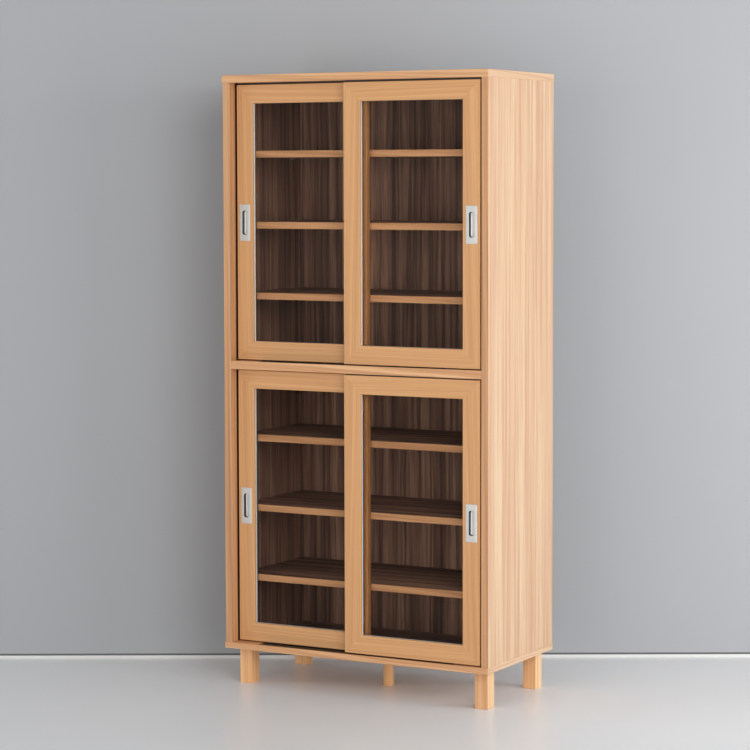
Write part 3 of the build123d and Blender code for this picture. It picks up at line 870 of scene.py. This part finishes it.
def pull_sections(plate_width, plate_height, plate_thickness, cup_depth):
    """Rings of a pull from the cup's back round the plate to the recess's floor."""
    sizes = bpy.context.scene.cabinet_fittings
    wall, lip, fillet = sizes.cup_wall, sizes.recess_lip, sizes.recess_round
    width, height, corner = sizes.recess_width, sizes.recess_height, sizes.recess_corner
    bevel, plate_corner, inner_corner = sizes.plate_bevel, 1.6 * MM, 0.5 * MM

    def opening(grow, depth):
        """A ring that is larger than the recess's opening by grow on every side."""
        return width + 2 * grow, height + 2 * grow, corner + grow, depth

    def plate(inset, depth):
        """A ring that is smaller than the plate by inset on every side."""
        return plate_width - 2 * inset, plate_height - 2 * inset, plate_corner - inset, depth

    core = (width - 2 * corner, height - 2 * corner, inner_corner)
    rings = [
        (*core, cup_depth + wall),
        opening(wall, cup_depth + wall),
        opening(wall, 0.0),
        plate(0.0, 0.0),
        plate(0.0, bevel - plate_thickness),
    ]
    steps, quarter = 4, math.radians(90.0)
    for step in range(1, steps + 1):
        turn = quarter * step / steps
        front = bevel * math.sin(turn) + plate_thickness - bevel
        rings.append(plate(bevel * (1 - math.cos(turn)), -front))
    rings.append(opening(3 * lip, -plate_thickness))
    for step in range(steps + 1):
        turn = quarter * step / steps
        sunk = lip * (1 - math.cos(turn)) - plate_thickness
        rings.append(opening(lip * (1 - math.sin(turn)), sunk))
    for step in range(steps + 2):
        turn = quarter * step / (steps + 1)
        depth = cup_depth - fillet * (1 - math.sin(turn))
        rings.append(opening(-fillet * (1 - math.cos(turn)), depth))
    rings.append((*core, cup_depth))
    return rings


def model_pull(name):
    """Model one recessed pull at the origin, its plate's back on the plane y = 0."""
    low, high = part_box(f"{DOORS[0]}_pull")
    face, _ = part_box(f"{DOORS[0]}_left_stile")
    sizes = bpy.context.scene.cabinet_fittings
    cup_depth = high.y - face.y - sizes.cup_wall
    sections = pull_sections(high.x - low.x, high.z - low.z, face.y - low.y, cup_depth)
    radius = sizes.recess_corner
    half_step = math.pi / sizes.loop_points
    bpy.ops.object.select_all(action="DESELECT")
    bpy.ops.mesh.primitive_circle_add(
        vertices=sizes.loop_points, radius=radius, rotation=(math.radians(90.0), half_step, 0.0)
    )
    pull = bpy.context.active_object
    pull.name = name
    bpy.ops.object.transform_apply(location=True, rotation=True, scale=True)
    last = (2 * radius, 2 * radius, radius)
    for number, section in enumerate(sections):
        bpy.ops.object.mode_set(mode="EDIT")
        if number:
            bpy.ops.mesh.extrude_region_move()
        else:
            bpy.ops.mesh.select_all(action="SELECT")
        bpy.ops.object.mode_set(mode="OBJECT")
        move_ring(pull.data, last, section)
        last = section
    bpy.ops.object.mode_set(mode="EDIT")
    bpy.ops.mesh.edge_face_add()
    bpy.ops.mesh.select_all(action="DESELECT")
    bpy.ops.mesh.select_non_manifold(extend=False)
    bpy.ops.mesh.edge_face_add()
    bpy.ops.mesh.select_all(action="SELECT")
    bpy.ops.mesh.normals_make_consistent(inside=False)
    bpy.ops.object.mode_set(mode="OBJECT")
    only_select(pull)
    bpy.ops.object.shade_smooth_by_angle(angle=math.radians(35.0))
    return pull


def line_recess(mesh):
    """Put the second metal, darkened as painted shade, on the walls of a pull's recess, and the
    third, brightened as painted light, on its floor.
    """
    sizes = bpy.context.scene.cabinet_fittings
    half_width = (sizes.recess_width + sizes.cup_wall) / 2
    half_height = (sizes.recess_height + sizes.cup_wall) / 2
    floor_depth = max(vertex.co.y for vertex in mesh.vertices) - sizes.cup_wall
    for face in mesh.polygons:
        across, depth, up = face.center
        if abs(across) > half_width or abs(up) > half_height:
            continue
        if 0.0 < depth < floor_depth - sizes.recess_round / 3:
            face.material_index = 1
        elif 0.0 < depth < floor_depth + sizes.cup_wall / 2:
            face.material_index = 2


class CABINET_OT_make_pulls(bpy.types.Operator):
    """Model the recessed pulls and set one into each door"""

    bl_idname = "cabinet.make_pulls"
    bl_label = "Make the pulls"

    def execute(self, context):
        fittings = context.scene.cabinet_fittings
        # The recess's walls carry painted shade and its floor painted light
        metals = {
            "satin_metal": fittings.metal,
            "recess_walls": fittings.recess_wall,
            "recess_floor": fittings.recess_floor,
        }
        across = (150.0, 1500.0, 1500.0)
        first = model_pull("pull_pattern")
        for name, colour in metals.items():
            first.data.materials.append(brushed(name, colour, 0.42, across, metallic=0.4))
        line_recess(first.data)
        for door in DOORS:
            only_select(first)
            bpy.ops.object.duplicate()
            pull = context.active_object
            pull.name = f"{door}_recessed_pull"
            side = "left" if "left" in door else "right"
            face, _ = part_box(f"{door}_{side}_stile")
            low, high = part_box(f"{door}_pull")
            pull.location = ((low.x + high.x) / 2, face.y, (low.z + high.z) / 2)
            bpy.ops.object.transform_apply(location=True, rotation=True, scale=True)
            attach(pull, door)
            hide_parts(f"{door}_pull")
        bpy.data.objects.remove(first)
        return {"FINISHED"}


# ---------------------------------------------------------------- stage


class CABINET_OT_set_stage(bpy.types.Operator):
    """Set the floor, the backdrop, the lamps and the camera"""

    bl_idname = "cabinet.set_stage"
    bl_label = "Set the stage"

    def execute(self, context):
        stage = context.scene.cabinet_stage
        make_floor(stage)
        make_backdrop(stage)
        make_skirting(stage)
        make_lamps(stage)
        make_camera(stage)
        context.scene.view_settings.view_transform = "Standard"
        return {"FINISHED"}


def view_direction(stage):
    """The camera's level heading."""
    return Vector((-math.sin(stage.camera_yaw), math.cos(stage.camera_yaw), 0.0))


def make_floor(stage):
    """A wide pale floor with a soft gloss."""
    bpy.ops.object.select_all(action="DESELECT")
    bpy.ops.mesh.primitive_plane_add(size=stage.floor_size, location=(0.0, 0.0, 0.0))
    floor = bpy.context.active_object
    floor.name = "floor"
    made, tree, shader = material("floor_finish", {"Roughness": 0.3, "IOR": 1.4})
    tree.links.new(mottled(tree, stage.floor, 1.5, 0.97), shader.inputs["Base Color"])
    floor.data.materials.append(made)


def wall_foot(stage):
    """The middle of the wall's foot, straight before the camera."""
    place = Vector(stage.camera_place) + view_direction(stage) * stage.wall_distance
    return Vector((place.x, place.y, 0.0))


def stand_plane(name, stage, foot, top, forward):
    """An upright plane square to the camera, forward of the wall's foot."""
    place = wall_foot(stage) - view_direction(stage) * forward
    bpy.ops.object.select_all(action="DESELECT")
    bpy.ops.mesh.primitive_plane_add(
        size=1.0,
        location=(place.x, place.y, (foot + top) / 2),
        rotation=(math.radians(90.0), 0.0, stage.camera_yaw),
    )
    plane = bpy.context.active_object
    plane.name = name
    plane.scale = (stage.wall_width, top - foot, 1.0)
    bpy.ops.object.transform_apply(location=True, rotation=True, scale=True)
    return plane


def show_front_only(tree, shader):
    """Clear the faces that are seen from behind."""
    behind = put(tree, "ShaderNodeNewGeometry").outputs["Backfacing"]
    show_either(tree, behind, shader, put(tree, "ShaderNodeBsdfTransparent"))


def make_skirting(stage):
    """A low pale trim along the wall's foot, with a dark line over it, a painted shadow of the gap
    above the trim.
    """
    trim, gap = stage.skirting_height, stage.gap_height
    # name, colour, foot, top, and distance before the wall
    strips = (
        ("skirting", stage.skirting, 0.0, trim, 2.0 * MM),
        ("shadow_gap", stage.shadow_gap, trim, gap, 1.0 * MM),
    )
    for name, colour, foot, top, forward in strips:
        strip = stand_plane(name, stage, foot, top, forward)
        made, tree, shader = material(name, {"Base Color": tuple(colour), "Roughness": 0.6})
        show_front_only(tree, shader)
        strip.data.materials.append(made)


def make_backdrop(stage):
    """A wall square to the camera, just behind the cabinet, seen from its front only."""
    wall = stand_plane("backdrop", stage, 0.0, stage.wall_height, 0.0)
    made, tree, shader = material("backdrop_finish", {"Roughness": 0.9, "IOR": 1.3})
    tree.links.new(mottled(tree, stage.backdrop, 1.2, 0.98), shader.inputs["Base Color"])
    show_front_only(tree, shader)
    wall.data.materials.append(made)


def add_lamp(name, bearing, climb, reach, size, power):
    """A soft lamp aimed at the cabinet; bearing is in degrees from the front towards +X."""
    target = Vector((0.0, 0.0, bpy.context.scene.cabinet_stage.aim_height))
    turn, lift = math.radians(bearing), math.radians(climb)
    level = reach * math.cos(lift)
    offset = (level * math.sin(turn), -level * math.cos(turn), reach * math.sin(lift))
    place = target + Vector(offset)
    bpy.ops.object.light_add(type="AREA", location=place)
    lamp = bpy.context.active_object
    lamp.name = name
    lamp.rotation_euler = (target - place).to_track_quat("-Z", "Y").to_euler()
    lamp.data.shape = "RECTANGLE"
    lamp.data.size, lamp.data.size_y = size
    lamp.data.energy = power


def make_lamps(stage):
    """Soft lamps in front and to the right, a weak one on the left, and the light of the room."""
    # name, bearing, climb, reach, size and power
    lamps = (
        ("front_lamp", 0.0, 1.0, 8.0, (4.0, 2.7), stage.front_power),
        ("wide_lamp", 45.0, 2.0, 8.0, (6.6, 3.2), stage.wide_power),
        ("high_lamp", 45.0, 20.0, 6.5, (2.6, 2.0), stage.high_power),
        ("window_lamp", 90.0, 5.0, 4.5, (3.0, 2.5), stage.window_power),
        ("left_lamp", -62.0, 4.0, 6.0, (3.0, 2.5), stage.left_power),
    )
    for lamp in lamps:
        add_lamp(*lamp)
    world = bpy.data.worlds.new("room")
    bpy.context.scene.world = world
    world.use_nodes = True
    tree = world.node_tree
    tree.nodes.clear()
    room = put(tree, "ShaderNodeBackground", {"Color": tuple(stage.room), "Strength": 1.0})
    put(tree, "ShaderNodeOutputWorld", {"Surface": room.outputs[0]})


def make_camera(stage):
    """The camera, turned, tilted and shifted as the view needs."""
    bpy.ops.object.camera_add(location=tuple(stage.camera_place))
    camera = bpy.context.active_object
    turn = Matrix.Rotation(stage.camera_yaw, 3, "Z")
    tilt = Matrix.Rotation(math.radians(90.0) - stage.camera_pitch, 3, "X")
    lean = Matrix.Rotation(stage.camera_roll, 3, "Z")
    camera.rotation_euler = (turn @ tilt @ lean).to_euler()
    camera.data.lens = stage.lens
    camera.data.sensor_width = 36.0  # millimetres, a full frame
    camera.data.shift_y = stage.shift
    bpy.context.scene.camera = camera


# ---------------------------------------------------------------- panel, registration and run


class CABINET_PT_tools(bpy.types.Panel):
    """Lists the cabinet's steps in the sidebar"""

    bl_idname = "CABINET_PT_tools"
    bl_label = "Kitchen Cabinet"
    bl_space_type = "VIEW_3D"
    bl_region_type = "UI"
    bl_category = "Cabinet"

    def draw(self, context):
        for step in STEPS:
            self.layout.operator(step.bl_idname)


EFFECTS = (
    build_board_axes,
    build_wood_figure,
    build_wood_tint,
    build_within_box,
    build_soft_mottle,
)
STEPS = (
    CABINET_OT_dress_carcass,
    CABINET_OT_dress_shelves,
    CABINET_OT_dress_doors,
    CABINET_OT_dress_fittings,
    CABINET_OT_make_pulls,
    CABINET_OT_set_stage,
)
SETTINGS = {
    "cabinet_woods": CabinetWoods,
    "cabinet_fittings": CabinetFittings,
    "cabinet_stage": CabinetStage,
}


def register():
    """Register the settings, the operators and the panel."""
    for made in (*SETTINGS.values(), *STEPS, CABINET_PT_tools):
        bpy.utils.register_class(made)
    for name, settings in SETTINGS.items():
        setattr(bpy.types.Scene, name, PointerProperty(type=settings))


def unregister():
    """Take back what register added."""
    for name in SETTINGS:
        delattr(bpy.types.Scene, name)
    for made in (CABINET_PT_tools, *reversed(STEPS), *SETTINGS.values()):
        bpy.utils.unregister_class(made)


def main():
    """Dress the frame."""
    register()
    for build in EFFECTS:
        build()
    bpy.ops.cabinet.dress_carcass()
    bpy.ops.cabinet.dress_shelves()
    bpy.ops.cabinet.dress_doors()
    bpy.ops.cabinet.dress_fittings()
    bpy.ops.cabinet.make_pulls()
    bpy.ops.cabinet.set_stage()


if __name__ == "__main__":
    main()
